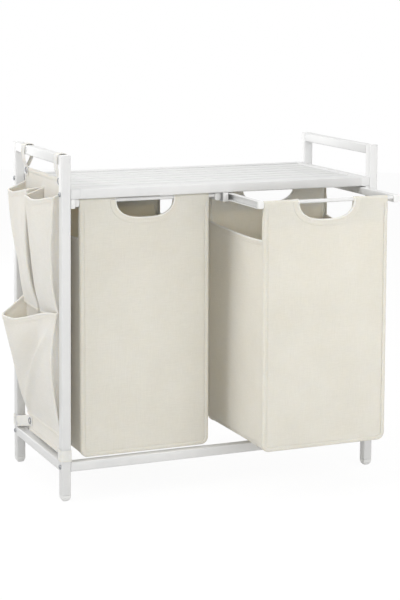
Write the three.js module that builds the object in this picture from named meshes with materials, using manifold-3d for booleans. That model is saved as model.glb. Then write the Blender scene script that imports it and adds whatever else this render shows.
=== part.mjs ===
// Laundry hamper with two pull-out bins: a steel tube frame with end handles and a slatted shelf,
// two fabric bags on hangers that slide in runners under the shelf, and a pocket organiser on one end.
// Millimetres, +Z up, front towards -Y. The hamper is built round the middle of its frame on the floor
// and then moved so that its origin lies under the middle of its outer box.

import * as THREE from "three";
import { mergeVertices } from "three/addons/utils/BufferGeometryUtils.js";
import Module from "manifold-3d";

const wasm = await Module();
wasm.setup();

// Frame
const frameWidth = 730;
const frameDepth = 330;
const frameHeight = 720;
const tubeSize = 20;
const tubeWall = 1.2;
const tubeCorner = 2;
const lowRailTop = 82.5;
const seatGap = 0.3; // between two pieces that are seated on each other
const overrun = 5; // how far a cutting tool runs past the face it cuts

// Feet
const footHeight = 13;
const footTipSize = 14;
const footTipChamfer = 1.5;
const footStem = 14;

// Bolts through the legs into the rails
const boltDiameter = 6;
const boltLength = 38;
const boltHeadDiameter = 10;
const boltHeadHeight = 2.4;
const boltSocketWidth = 4;
const boltSocketDepth = 1.5;
const railEndBlock = 20;

// Shelf
const handleRise = 69.5; // of the top of the handles over the top of the shelf
const slatWidth = 34;
const leastSlatGap = 5;
const slatHeight = 10;
const slatCorner = 1.6;
const slatDrop = 2; // of the slats under the rails

// Runners under the shelf, and their front guides
const sideRunnerWidth = 8.7;
const centreRunnerWidth = 12;
const runnerHeight = 18.9;
const runnerWall = 1.5;
const runnerGap = 0.5; // between a runner and the hanger bar beside it
const guideLength = 22;
const guideReach = 5; // into the hanger bar

// Hangers
const hangerSetback = 12; // of the hanger's front behind the front of the frame, when closed
const hangerRearRoom = 25; // behind the hanger, when closed
const barWidth = 13;
const barHeight = 15.5;
const barWall = 1.5;
const capThickness = 5;
const capStem = 5;
const sliderLength = 26;
const sliderReach = 4.2; // into the runner
const rodDiameter = 8;
const rodRise = 2.9; // of the rods over the middle of the bars
const stopGap = 0.5; // between a closed hanger's cap stems and the guides that stop them
const pulledOut = 158; // of the right hanger, as it stands

// Bags
const bagCorner = 30;
const bagCloth = 2;
const bagLifts = { left: 8.95, right: 24.95 }; // of the bottom of a bag over the low rails
const bagSideGap = 0.5; // between a bag and the bar that it is pushed against
const bagSlack = 14.5; // between a bag and the other bar
const bagRearGap = 10.7; // between a bag and the rear end of its hanger
const sleeveCloth = 1.5;
const sleeveFall = 26; // from the rod to the seam of its sleeve
const sideDip = 77; // of the side panels under the sleeves
const sideSag = 7;
const gripWidth = 126;
const gripDepth = 40;
const gripPower = 2.6; // of the superellipse that rounds the hand hole

// Organiser
const panelCloth = 1.6;
const panelDrop = 28; // of the panel's top under the handle
const panelLift = 9.5; // of the panel's bottom over the low rail
const panelFrontGap = 2.2; // to the front leg
const panelBackGap = 45; // to the back leg
const panelTaper = 22; // of the panel's back edge towards the bottom
const panelTaperDrop = 4; // of the taper's start under the rim of the lower pocket
const panelCorner = 6;
const pocketCloth = 1.6;
const pocketFold = 7; // radius of the outer folds
const frontPocketWidth = 118.8;
const upperRimDrop = 32; // of the upper pockets' rims under the panel's top
const upperRimDip = 18; // of the rim's outer edge
const pocketGap = 8; // between the lower pocket and the upper ones
const upperReaches = { back: 45, middle: 34, split: 45, front: 27 };
const lowerPocketHeight = 282;
const lowerRimDips = { back: 42, front: 6 };
const lowerBottomRise = 20; // of the lower pocket's bottom over the panel's
const lowerReaches = { back: 57, front: 24 };
const pocketFoot = 4; // how far a pocket stands out at its bottom
const pocketSwell = 0.9; // power of a pocket's reach along its height share
const strapWidth = 24;
const strapCloth = 1.3;
const strapTail = 24;
const strapMeet = 4; // how far over the panel the leaves of a top strap meet
const strapLift = 2.5; // of the straps round the legs over the low rails
const snapDiameter = 11;
const snapHeight = 1.6;

// Sizes that follow from the ones above
const halfWidth = frameWidth / 2;
const halfDepth = frameDepth / 2;
const legX = halfWidth - tubeSize / 2;
const legY = halfDepth - tubeSize / 2;
const innerX = halfWidth - tubeSize;
const innerY = halfDepth - tubeSize;
const lowRailZ = lowRailTop - tubeSize / 2;
const shelfTop = frameHeight - handleRise;
const shelfZ = shelfTop - tubeSize / 2;
const shelfUnderside = shelfTop - tubeSize;
const handleZ = frameHeight - tubeSize / 2;
const runnerZ = shelfUnderside - seatGap - runnerHeight / 2;
const hangerOuterX = innerX - seatGap - sideRunnerWidth - runnerGap;
const hangerInnerX = centreRunnerWidth / 2 + runnerGap;
const hangerX = (hangerOuterX + hangerInnerX) / 2;
const hangerWidth = hangerOuterX - hangerInnerX;
const hangerFront = -halfDepth + hangerSetback;
const sleeveRadius = rodDiameter / 2 + seatGap + sleeveCloth;
const guideFront = hangerFront + capThickness + capStem + stopGap;
const bagFront = seatGap;
const hangerLength = frameDepth - hangerSetback - hangerRearRoom;
const bagWidth = hangerWidth - 2 * barWidth - bagSideGap - bagSlack;
const bagDepth = hangerLength - bagFront - bagRearGap;
const panelX = -legX - panelCloth;
const panelFront = -innerY + panelFrontGap;
const panelBack = innerY - panelBackGap;
const panelBackLow = panelBack - panelTaper;
const panelTop = frameHeight - tubeSize - panelDrop;
const panelBottom = lowRailTop + panelLift;
const lowerBottom = panelBottom + lowerBottomRise;
const lowerRim = lowerBottom + lowerPocketHeight;
const upperBottom = lowerRim + pocketGap;
const upperRim = panelTop - upperRimDrop;
const pocketSplit = panelFront + frontPocketWidth; // where the two upper pockets meet

const materials = {
  steel: new THREE.MeshStandardMaterial({ color: 0xeeeeec, roughness: 0.45, metalness: 0.1 }),
  plastic: new THREE.MeshStandardMaterial({ color: 0xf4f4f2, roughness: 0.5, metalness: 0 }),
  zinc: new THREE.MeshStandardMaterial({ color: 0x9a9c9e, roughness: 0.35, metalness: 0.9 }),
  canvas: new THREE.MeshStandardMaterial({ color: 0xe8e3d7, roughness: 0.95, metalness: 0 }),
};

const weldDistance = 1e-3;
const cornerSegments = 1; // two facets to a quarter turn
const curveSegments = 4; // eight facets to a quarter turn
const boreSides = 16;

// A closed geometry as a solid that can be joined and cut.
function solidOf(geometry) {
  const bare = geometry.index ? geometry.toNonIndexed() : geometry.clone();
  bare.deleteAttribute("normal");
  bare.deleteAttribute("uv");
  const merged = mergeVertices(bare, weldDistance);
  const vertProperties = merged.attributes.position.array;
  const triVerts = new Uint32Array(merged.index.array);
  return new wasm.Manifold(new wasm.Mesh({ numProp: 3, vertProperties, triVerts }));
}

function geometryOf(solid) {
  const mesh = solid.getMesh();
  const geometry = new THREE.BufferGeometry();
  geometry.setAttribute("position", new THREE.BufferAttribute(mesh.vertProperties, mesh.numProp));
  geometry.setIndex(new THREE.BufferAttribute(mesh.triVerts, 1));
  geometry.computeVertexNormals();
  return geometry;
}

function join(...geometries) {
  return geometryOf(geometries.map(solidOf).reduce((whole, piece) => whole.add(piece)));
}

function cut(geometry, ...tools) {
  return geometryOf(tools.map(solidOf).reduce((rest, tool) => rest.subtract(tool), solidOf(geometry)));
}

// A block between two values on each axis.
function block([x0, x1], [y0, y1], [z0, z1]) {
  const geometry = new THREE.BoxGeometry(x1 - x0, y1 - y0, z1 - z0);
  return geometry.translate((x0 + x1) / 2, (y0 + y1) / 2, (z0 + z1) / 2);
}

// A shape drawn in the plane across an axis, extruded along it to both sides of the origin.
// Across X the shape is drawn in Y and Z, across Y in X and Z, and across Z in X and Y.
function prism(axis, shape, length, segments = cornerSegments) {
  const x = new THREE.Vector3(1, 0, 0);
  const y = new THREE.Vector3(0, 1, 0);
  const z = new THREE.Vector3(0, 0, 1);
  const bases = { x: [y, z, x], y: [x, z, y.clone().negate()], z: [x, y, z] };
  const geometry = new THREE.ExtrudeGeometry(shape, {
    depth: length,
    bevelEnabled: false,
    curveSegments: segments,
  });
  geometry.translate(0, 0, -length / 2);
  return geometry.applyMatrix4(new THREE.Matrix4().makeBasis(...bases[axis]));
}

// Draws a rectangle with round corners on a shape or a path.
function drawRounded(path, width, height, radius, [cx, cy] = [0, 0]) {
  const x = width / 2 - radius;
  const y = height / 2 - radius;
  path.absarc(cx + x, cy + y, radius, 0, Math.PI / 2);
  path.absarc(cx - x, cy + y, radius, Math.PI / 2, Math.PI);
  path.absarc(cx - x, cy - y, radius, Math.PI, 1.5 * Math.PI);
  path.absarc(cx + x, cy - y, radius, 1.5 * Math.PI, 2 * Math.PI);
  return path;
}

function roundedRectangle(width, height, radius) {
  return drawRounded(new THREE.Shape(), width, height, radius);
}

// A square tube's bore, or the stem that fits in it with a gap.
function boreShape(gap = 0) {
  const width = tubeSize - 2 * tubeWall - 2 * gap;
  return roundedRectangle(width, width, tubeCorner - tubeWall / 2);
}

function cylinder(axis, diameter, length, sides = boreSides) {
  const geometry = new THREE.CylinderGeometry(diameter / 2, diameter / 2, length, sides);
  if (axis === "x") geometry.rotateZ(Math.PI / 2);
  if (axis === "z") geometry.rotateX(Math.PI / 2);
  return geometry;
}

// The mirror image of a geometry across one axis, with its faces still pointing outwards.
function mirrored(geometry, [x, y, z]) {
  const image = geometry.clone().scale(x, y, z);
  image.setIndex([...image.index.array].reverse());
  return image;
}

// A geometry that is drawn for the +X side, turned to the side of the given sign.
function facing(geometry, sign) {
  return sign > 0 ? geometry : mirrored(geometry, [-1, 1, 1]);
}

// A closed solid through rings of equally many points, which run anticlockwise seen from above.
function loft(rings) {
  const count = rings[0].length;
  const triangles = [];
  for (let r = 0; r < rings.length - 1; r++) {
    for (let i = 0; i < count; i++) {
      const a = r * count + i;
      const b = r * count + ((i + 1) % count);
      triangles.push(a, b, b + count, a, b + count, a + count);
    }
  }
  const flat = (ring) => THREE.ShapeUtils.triangulateShape(ring.map((p) => new THREE.Vector2(p.x, p.y)), []);
  const top = (rings.length - 1) * count;
  flat(rings[0]).forEach(([a, b, c]) => triangles.push(c, b, a));
  flat(rings.at(-1)).forEach(([a, b, c]) => triangles.push(top + a, top + b, top + c));
  const geometry = new THREE.BufferGeometry().setFromPoints(rings.flat());
  geometry.setIndex(triangles);
  return geometry;
}

const hamper = new THREE.Group();

function add(parent, name, geometry, material, x = 0, y = 0, z = 0) {
  const mesh = new THREE.Mesh(geometry, material);
  mesh.name = name;
  mesh.position.set(x, y, z);
  parent.add(mesh);
}

const sides = { left: -1, right: 1 };
const ends = { front: -1, back: 1 };

// Legs, closed on top, with a bore from below and two bolt holes across
function makeLeg() {
  const length = frameHeight - footHeight - seatGap;
  const outside = prism("z", roundedRectangle(tubeSize, tubeSize, tubeCorner), length);
  const bore = prism("z", boreShape(), length).translate(0, 0, -tubeWall);
  const middle = footHeight + seatGap + length / 2;
  const hole = cylinder("x", boltDiameter + 2 * seatGap, tubeSize + overrun);
  const holes = [lowRailZ, shelfZ].map((z) => hole.clone().translate(0, 0, z - middle));
  return cut(outside, bore, ...holes).translate(0, 0, middle);
}

// A foot that tapers to its tip, with a stem in the leg's bore
function makeFoot() {
  const ring = (width, z) => {
    const radius = Math.min(tubeCorner, width / 2);
    const points = roundedRectangle(width, width, radius).getPoints(cornerSegments).slice(0, -1);
    return points.map((p) => new THREE.Vector3(p.x, p.y, z));
  };
  const stemWidth = tubeSize - 2 * tubeWall - 2 * seatGap;
  return loft([
    ring(footTipSize - 2 * footTipChamfer, 0),
    ring(footTipSize, footTipChamfer),
    ring(tubeSize, footHeight),
    ring(stemWidth, footHeight),
    ring(stemWidth, footHeight + footStem),
  ]);
}

// A rail between two legs: a tube with an end block at each end, bored for its bolt
function makeRail(axis, length) {
  const outside = prism(axis, roundedRectangle(tubeSize, tubeSize, tubeCorner), length);
  const bore = prism(axis, boreShape(), length - 2 * railEndBlock);
  const boltBore = cylinder(axis, boltDiameter + 2 * seatGap, length + overrun);
  return cut(outside, bore, boltBore);
}

// A button head bolt along X, with its head towards +X and its seat at x = 0
function makeBolt() {
  const shank = cylinder("x", boltDiameter, boltLength).translate(-boltLength / 2, 0, 0);
  const head = cylinder("x", boltHeadDiameter, boltHeadHeight).translate(boltHeadHeight / 2, 0, 0);
  const socket = cylinder("x", boltSocketWidth, 2 * boltSocketDepth, 6).translate(boltHeadHeight, 0, 0);
  return cut(join(shank, head), socket);
}

const leg = makeLeg();
const foot = makeFoot();
const bolt = makeBolt();
const boltLevels = { low: lowRailZ, shelf: shelfZ };
for (const [side, sx] of Object.entries(sides)) {
  for (const [end, sy] of Object.entries(ends)) {
    add(hamper, `leg_${end}_${side}`, leg, materials.steel, sx * legX, sy * legY);
    add(hamper, `foot_${end}_${side}`, foot, materials.plastic, sx * legX, sy * legY);
    for (const [level, z] of Object.entries(boltLevels)) {
      const x = sx * (halfWidth + seatGap);
      add(hamper, `bolt_${level}_${end}_${side}`, facing(bolt, sx), materials.zinc, x, sy * legY, z);
    }
  }
}

// Handles and low rails of the two end frames, and the low rails between them
const crossRail = makeRail("y", 2 * (innerY - seatGap));
const longRail = makeRail("x", 2 * (innerX - seatGap));
for (const [side, sx] of Object.entries(sides)) {
  add(hamper, `handle_${side}`, crossRail, materials.steel, sx * legX, 0, handleZ);
  add(hamper, `low_rail_${side}`, crossRail, materials.steel, sx * legX, 0, lowRailZ);
}
for (const [end, sy] of Object.entries(ends)) {
  add(hamper, `low_rail_${end}`, longRail, materials.steel, 0, sy * legY, lowRailZ);
}

// Shelf: a welded ring of tubes with slats that are folded down along both edges
function makeShelf() {
  const square = roundedRectangle(tubeSize, tubeSize, tubeCorner);
  const ringX = innerX - seatGap;
  const longLength = 2 * (ringX - tubeSize + tubeCorner);
  const slatLength = 2 * (ringX - tubeSize + tubeWall);
  const slatCount = Math.floor((2 * innerY) / (slatWidth + leastSlatGap));
  const slatPitch = (2 * innerY) / slatCount;
  const sideX = ringX - tubeSize / 2;
  const pieces = [];
  const bores = [];
  for (const s of [-1, 1]) {
    pieces.push(prism("y", square, frameDepth).translate(s * sideX, 0, 0));
    bores.push(prism("y", boreShape(), frameDepth - 2 * tubeWall).translate(s * sideX, 0, 0));
    pieces.push(prism("x", square, longLength).translate(0, s * legY, 0));
    bores.push(prism("x", boreShape(), 2 * sideX).translate(0, s * legY, 0));
    bores.push(cylinder("x", boltDiameter + 2 * seatGap, frameWidth).translate(0, s * legY, 0));
  }
  const slatInside = roundedRectangle(slatWidth - 2 * tubeWall, slatHeight, slatCorner);
  const slat = cut(
    prism("x", roundedRectangle(slatWidth, slatHeight, slatCorner), slatLength),
    prism("x", slatInside, frameWidth).translate(0, 0, -tubeWall),
  );
  for (let i = 0; i < slatCount; i++) {
    const y = (i - (slatCount - 1) / 2) * slatPitch;
    pieces.push(slat.clone().translate(0, y, (tubeSize - slatHeight) / 2 - slatDrop));
  }
  return cut(join(...pieces), ...bores);
}
add(hamper, "shelf", makeShelf(), materials.steel, 0, 0, shelfZ);

// Runners: a channel beside each leg and a double one in the middle, all open towards the hangers
const runnerLength = frameDepth - 2 * tubeWall;
const grooveHeight = runnerHeight - 2 * runnerWall;

// A bar along Y, between two values in X and with the given height and length, round the origin.
function rail([x0, x1], length, height) {
  return block([x0, x1], [-length / 2, length / 2], [-height / 2, height / 2]);
}

function makeSideRunner() {
  const half = sideRunnerWidth / 2;
  const groove = rail([-half - overrun, half - runnerWall], frameDepth, grooveHeight);
  return cut(rail([-half, half], runnerLength, runnerHeight), groove);
}

function makeCentreRunner() {
  const half = centreRunnerWidth / 2;
  const groove = rail([runnerWall / 2, half + overrun], frameDepth, grooveHeight);
  return cut(rail([-half, half], runnerLength, runnerHeight), groove, groove.clone().rotateZ(Math.PI));
}

// A guide fills a runner's groove and has a nose that carries the hanger bar from inside its channel.
// It is drawn for a groove that opens towards +X with its floor at x = 0.
const noseHeight = barHeight - 2 * barWall - 2 * seatGap;
const rootHeight = grooveHeight - 2 * seatGap;

function makeGuide(grooveDepth) {
  const root = block([seatGap, grooveDepth], [0, guideLength], [-rootHeight / 2, rootHeight / 2]);
  const tip = grooveDepth + runnerGap + guideReach;
  const nose = block([seatGap, tip], [0, guideLength], [-noseHeight / 2, noseHeight / 2]);
  return join(root, nose);
}

const sideRunner = makeSideRunner();
const sideRunnerX = innerX - seatGap - sideRunnerWidth / 2;
const sideGuide = makeGuide(sideRunnerWidth - runnerWall);
const centreGuide = makeGuide((centreRunnerWidth - runnerWall) / 2);
add(hamper, "runner_centre", makeCentreRunner(), materials.steel, 0, 0, runnerZ);
for (const [side, sx] of Object.entries(sides)) {
  const runner = sx > 0 ? sideRunner : sideRunner.clone().rotateZ(Math.PI);
  add(hamper, `runner_${side}`, runner, materials.steel, sx * sideRunnerX, 0, runnerZ);
  const sideX = sx * (innerX - seatGap - runnerWall);
  const middleX = (sx * runnerWall) / 2;
  const guides = { side: facing(sideGuide, -sx), centre: facing(centreGuide, sx) };
  add(hamper, `guide_side_${side}`, guides.side, materials.plastic, sideX, guideFront, runnerZ);
  add(hamper, `guide_centre_${side}`, guides.centre, materials.plastic, middleX, guideFront, runnerZ);
}

// A hanger bar is a channel that opens outwards, with a cap in front and a slider in its rear end.
// They are drawn for the bar at the hanger's +X side, with the bar's outer face at x = 0.
const barFront = capThickness + seatGap;
const channelHeight = barHeight - 2 * barWall;
const channelDepth = barWidth - barWall;

function makeBar() {
  const outside = block([-barWidth, 0], [barFront, hangerLength], [-barHeight / 2, barHeight / 2]);
  const channel = block(
    [-channelDepth, overrun],
    [0, hangerLength + overrun],
    [-channelHeight / 2, channelHeight / 2],
  );
  return cut(outside, channel);
}

function makeCap() {
  const plate = prism("y", roundedRectangle(barWidth, barHeight, tubeCorner), capThickness);
  plate.translate(-barWidth / 2, capThickness / 2, 0);
  const stemEnd = capThickness + capStem;
  const stem = block([-channelDepth + seatGap, 0], [0, stemEnd], [-noseHeight / 2, noseHeight / 2]);
  return join(plate, stem);
}

function makeSlider() {
  const y = [hangerLength - sliderLength, hangerLength];
  const inBar = block([-channelDepth + seatGap, sliderReach], y, [-noseHeight / 2, noseHeight / 2]);
  const inRunner = block([runnerGap, sliderReach + runnerGap], y, [-rootHeight / 2, rootHeight / 2]);
  return join(inBar, inRunner);
}

// A bag: flat front and back panels with a strip sewn round them, a sleeve on top of each panel,
// a hand hole through each sleeve, and side panels that end lower. Drawn from the middle of the
// bag's front face, with z = 0 at the rods.
function bagOutline(width, drop, radius) {
  const shape = new THREE.Shape();
  shape.moveTo(width / 2, 0);
  shape.lineTo(-width / 2, 0);
  shape.absarc(-width / 2 + radius, -drop + radius, radius, Math.PI, 1.5 * Math.PI);
  shape.absarc(width / 2 - radius, -drop + radius, radius, 1.5 * Math.PI, 2 * Math.PI);
  return shape;
}

function gripOutline() {
  const steps = 20;
  const shape = new THREE.Shape();
  const round = (value) => Math.sign(value) * Math.abs(value) ** (2 / gripPower);
  shape.moveTo(gripWidth / 2, sleeveRadius + overrun);
  shape.lineTo(-gripWidth / 2, sleeveRadius + overrun);
  for (let i = 0; i <= steps; i++) {
    const angle = Math.PI * (1 + i / steps);
    const fall = round(Math.sin(angle)) * gripDepth;
    shape.lineTo((round(Math.cos(angle)) * gripWidth) / 2, sleeveRadius + fall);
  }
  return shape;
}

function sleeveOutline() {
  const steps = 6;
  const shape = new THREE.Shape();
  shape.moveTo(-sleeveRadius, -sleeveFall);
  shape.lineTo(-sleeveRadius + bagCloth, -sleeveFall);
  for (let i = 0; i <= 2 * steps; i++) {
    const angle = (Math.PI * i) / (2 * steps);
    shape.lineTo(Math.cos(angle) * sleeveRadius, Math.sin(angle) * sleeveRadius);
  }
  return shape;
}

function makeBag(lift) {
  const fall = runnerZ + rodRise - lowRailTop - lift;
  const outside = prism("y", bagOutline(bagWidth, fall, bagCorner), bagDepth, curveSegments);
  const innerOutline = bagOutline(bagWidth - 2 * bagCloth, fall - bagCloth, bagCorner - bagCloth);
  const innerDepth = bagDepth - 2 * bagCloth;
  const inside = prism("y", innerOutline, innerDepth, curveSegments);
  const dip = sleeveRadius - sideDip;
  const mouth = new THREE.Shape();
  mouth.moveTo(innerDepth / 2, overrun);
  mouth.lineTo(-innerDepth / 2, overrun);
  mouth.lineTo(-innerDepth / 2, dip);
  mouth.quadraticCurveTo(0, dip - 2 * sideSag, innerDepth / 2, dip);
  const mouthCut = prism("x", mouth, bagWidth + overrun, curveSegments);
  const sleeve = prism("x", sleeveOutline(), bagWidth, curveSegments);
  const frontSleeve = sleeve.clone().translate(0, sleeveRadius - bagDepth / 2, 0);
  const backSleeve = frontSleeve.clone().rotateZ(Math.PI);
  const shell = join(cut(outside, inside, mouthCut), frontSleeve, backSleeve);
  const grip = prism("y", gripOutline(), bagDepth + overrun);
  const rodBore = cylinder("x", rodDiameter + 2 * seatGap, bagWidth + overrun);
  const rodBores = [-1, 1].map((s) => rodBore.clone().translate(0, s * (bagDepth / 2 - sleeveRadius), 0));
  return cut(shell, grip, ...rodBores).translate(0, bagDepth / 2, 0);
}

const bar = makeBar();
const cap = makeCap();
const slider = makeSlider();
const rodLength = hangerWidth - 2 * barWidth - 2 * seatGap;
const rod = cylinder("x", rodDiameter, rodLength);
const bagX = -hangerWidth / 2 + barWidth + bagSideGap + bagWidth / 2; // pushed against the left bar

for (const [bin, sx] of Object.entries(sides)) {
  const hanger = new THREE.Group();
  hanger.position.set(sx * hangerX, hangerFront - (bin === "right" ? pulledOut : 0), runnerZ);
  for (const [side, s] of Object.entries(sides)) {
    const x = (s * hangerWidth) / 2;
    add(hanger, `${bin}_bar_${side}`, facing(bar, s), materials.steel, x);
    add(hanger, `${bin}_cap_${side}`, facing(cap, s), materials.plastic, x);
    add(hanger, `${bin}_slider_${side}`, facing(slider, s), materials.plastic, x);
  }
  const rodYs = { front: bagFront + sleeveRadius, back: bagFront + bagDepth - sleeveRadius };
  for (const [end, y] of Object.entries(rodYs)) {
    add(hanger, `${bin}_rod_${end}`, rod, materials.steel, 0, y, rodRise);
  }
  add(hanger, `${bin}_bag`, makeBag(bagLifts[bin]), materials.canvas, bagX, bagFront, rodRise);
  hamper.add(hanger);
}

// Organiser: a cloth panel in the plane of the left end frame, with pockets on its outer side
function makePanel() {
  const shape = new THREE.Shape();
  shape.moveTo(panelFront, panelBottom);
  shape.lineTo(panelBackLow - panelCorner, panelBottom);
  shape.quadraticCurveTo(panelBackLow, panelBottom, panelBackLow, panelBottom + panelCorner);
  shape.lineTo(panelBack, lowerRim - panelTaperDrop);
  shape.lineTo(panelBack, panelTop);
  shape.lineTo(panelFront, panelTop);
  return prism("x", shape, panelCloth);
}

// A pocket: a cloth wall that stands out from the panel towards -X and is open on top. Each level
// gives a height share and a reach share, and the rim's outer edge hangs lower than the panel side.
function makePocket({ yBack, yBackLow, yFront, rim, bottom, dips, reaches }) {
  const levelShares = [0, 0.12, 0.3, 0.5, 0.75, 1];
  const foldSteps = 3;
  const wall = (inset, backX, lift) =>
    levelShares.map((t) => {
      const swell = t ** pocketSwell;
      const reachBack = pocketFoot + (reaches.back - pocketFoot) * swell - inset;
      const reachFront = pocketFoot + (reaches.front - pocketFoot) * swell - inset;
      const y1 = THREE.MathUtils.lerp(yBackLow, yBack, Math.min(1, 2 * t)) - inset;
      const y0 = yFront + inset;
      const fold = Math.min(pocketFold, reachFront / 2, reachBack / 2);
      const low = t === 0 ? inset : 0;
      const height = (reachShare, y) => {
        const along = (y - y0) / (y1 - y0);
        const dip = THREE.MathUtils.lerp(dips.front, dips.back, along);
        return bottom + low + (rim - bottom) * t - dip * t * reachShare + lift * t;
      };
      const corner = (x, y, start) =>
        Array.from({ length: foldSteps + 1 }, (_, i) => {
          const angle = start + ((Math.PI / 2) * i) / foldSteps;
          return [x + fold * Math.cos(angle), y + fold * Math.sin(angle)];
        });
      const outline = [
        [backX, y0, 0],
        [backX, y1, 0],
        ...corner(-reachBack + fold, y1 - fold, Math.PI / 2).map((p) => [...p, 1]),
        ...corner(-reachFront + fold, y0 + fold, Math.PI).map((p) => [...p, 1]),
      ];
      return outline.map(([x, y, reachShare]) => new THREE.Vector3(x, y, height(reachShare, y)));
    });
  return cut(loft(wall(0, 0, 0)), loft(wall(pocketCloth, overrun, overrun)));
}

const panelOuterX = panelX - panelCloth / 2;
const pocketX = panelOuterX - seatGap;
add(hamper, "organiser_panel", makePanel(), materials.canvas, panelX);
const upperPocket = { rim: upperRim, bottom: upperBottom };
const upperDips = { back: upperRimDip, front: upperRimDip };
const backPocket = makePocket({
  ...upperPocket,
  yBack: panelBack,
  yBackLow: panelBack,
  yFront: pocketSplit + seatGap,
  dips: upperDips,
  reaches: { back: upperReaches.back, front: upperReaches.middle },
});
const frontPocket = makePocket({
  ...upperPocket,
  yBack: pocketSplit - seatGap,
  yBackLow: pocketSplit - seatGap,
  yFront: panelFront,
  dips: upperDips,
  reaches: { back: upperReaches.split, front: upperReaches.front },
});
const lowerPocket = makePocket({
  rim: lowerRim,
  bottom: lowerBottom,
  yBack: panelBack,
  yBackLow: panelBackLow,
  yFront: panelFront,
  dips: lowerRimDips,
  reaches: lowerReaches,
});
add(hamper, "pocket_upper_back", backPocket, materials.canvas, pocketX);
add(hamper, "pocket_upper_front", frontPocket, materials.canvas, pocketX);
add(hamper, "pocket_lower", lowerPocket, materials.canvas, pocketX);

// A strap over the handle: two leaves that meet under the rail and end in a tail on the panel.
// Drawn across Y from the middle of the rail.
function makeTopStrap() {
  const inner = tubeSize / 2 + seatGap;
  const outer = inner + strapCloth;
  const meet = panelTop + strapMeet - handleZ;
  const tailX = pocketX - seatGap + legX;
  const shape = new THREE.Shape();
  shape.moveTo(outer, outer);
  shape.lineTo(-outer, outer);
  shape.lineTo(-outer, -outer);
  shape.lineTo(tailX - strapCloth, meet);
  shape.lineTo(tailX - strapCloth, meet - strapTail);
  shape.lineTo(tailX, meet - strapTail);
  shape.lineTo(tailX, meet - strapCloth);
  shape.lineTo(outer, -outer);
  const loop = new THREE.Path();
  loop.moveTo(inner, inner);
  loop.lineTo(-inner, inner);
  loop.lineTo(-inner, -inner);
  loop.lineTo(tailX, meet + strapCloth);
  loop.lineTo(inner, -inner);
  shape.holes.push(loop);
  const snap = cylinder("x", snapDiameter, snapHeight);
  snap.translate(tailX - strapCloth - snapHeight / 2 + seatGap, 0, meet - strapTail / 2);
  return join(prism("y", shape, strapWidth), snap);
}

// A strap round a leg, with a tail that runs to the panel. Drawn from the middle of the back leg.
function makeLowStrap(tailEnd) {
  const inner = tubeSize / 2 + seatGap;
  const outer = inner + strapCloth;
  const tailX = pocketX - seatGap + legX;
  const shape = new THREE.Shape();
  shape.moveTo(outer, outer);
  shape.lineTo(-outer, outer);
  shape.lineTo(-outer, -outer);
  shape.lineTo(tailX - strapCloth, -outer);
  shape.lineTo(tailX - strapCloth, tailEnd);
  shape.lineTo(tailX, tailEnd);
  shape.lineTo(tailX, -outer);
  shape.lineTo(outer, -outer);
  shape.holes.push(drawRounded(new THREE.Path(), 2 * inner, 2 * inner, tubeCorner));
  const snap = cylinder("x", snapDiameter, snapHeight);
  snap.translate(tailX - strapCloth - snapHeight / 2 + seatGap, tailEnd + strapTail / 2, 0);
  return join(prism("z", shape, strapWidth), snap);
}

const topStrap = makeTopStrap();
const strapYs = { back: panelBack - strapWidth / 2, front: panelFront + strapWidth / 2 };
for (const [end, y] of Object.entries(strapYs)) {
  add(hamper, `strap_top_${end}`, topStrap, materials.canvas, -legX, y, handleZ);
}
const strapZ = lowRailTop + strapLift + strapWidth / 2;
const backStrap = makeLowStrap(panelBackLow - strapTail - legY);
const frontStrap = mirrored(makeLowStrap(-tubeSize / 2 - strapTail - panelFrontGap), [1, -1, 1]);
add(hamper, "strap_low_back", backStrap, materials.canvas, -legX, legY, strapZ);
add(hamper, "strap_low_front", frontStrap, materials.canvas, -legX, -legY, strapZ);

// The origin goes to the floor under the middle of the outer box.
const box = new THREE.Box3().setFromObject(hamper, true);
const middle = box.getCenter(new THREE.Vector3());
const placed = new THREE.Group();
hamper.position.set(-middle.x, -middle.y, -box.min.z);
placed.add(hamper);

export default placed;
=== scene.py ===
import math

import bpy
import numpy as np
from mathutils import Matrix, Vector, noise


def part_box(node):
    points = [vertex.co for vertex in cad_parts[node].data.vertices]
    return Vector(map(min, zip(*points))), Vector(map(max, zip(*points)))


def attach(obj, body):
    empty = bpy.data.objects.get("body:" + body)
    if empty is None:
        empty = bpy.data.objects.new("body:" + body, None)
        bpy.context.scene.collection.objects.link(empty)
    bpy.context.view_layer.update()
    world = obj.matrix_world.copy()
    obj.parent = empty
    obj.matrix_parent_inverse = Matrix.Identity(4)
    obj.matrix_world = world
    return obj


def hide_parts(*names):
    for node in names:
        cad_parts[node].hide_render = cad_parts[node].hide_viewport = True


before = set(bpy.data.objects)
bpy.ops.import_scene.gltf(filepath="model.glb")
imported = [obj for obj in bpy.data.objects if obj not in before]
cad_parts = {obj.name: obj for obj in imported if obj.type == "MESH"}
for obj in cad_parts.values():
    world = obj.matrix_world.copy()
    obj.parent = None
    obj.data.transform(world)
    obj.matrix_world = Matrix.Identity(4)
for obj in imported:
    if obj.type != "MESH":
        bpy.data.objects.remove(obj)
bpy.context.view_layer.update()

# The camera stands at the photograph's place, left of the hamper's front and above its shelf, and
# looks down by about 7 degrees. Lens and shift were fitted to the corners of the frame's tubes.
camera_place = Vector((-1.4302, -3.2850, 1.0715))
camera_turn = math.radians(23.587)
camera_tilt = math.radians(-6.747)
camera_roll = math.radians(0.479)
camera_data = bpy.data.cameras.new("camera")
camera_data.lens = 100.518
camera_data.sensor_width = 36
camera_data.shift_y = -0.2
camera = bpy.data.objects.new("camera", camera_data)
bpy.context.collection.objects.link(camera)
camera.matrix_world = (
    Matrix.Translation(camera_place)
    @ Matrix.Rotation(-camera_turn, 4, "Z")
    @ Matrix.Rotation(math.pi / 2 + camera_tilt, 4, "X")
    @ Matrix.Rotation(camera_roll, 4, "Z")
)
bpy.context.scene.camera = camera

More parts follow.
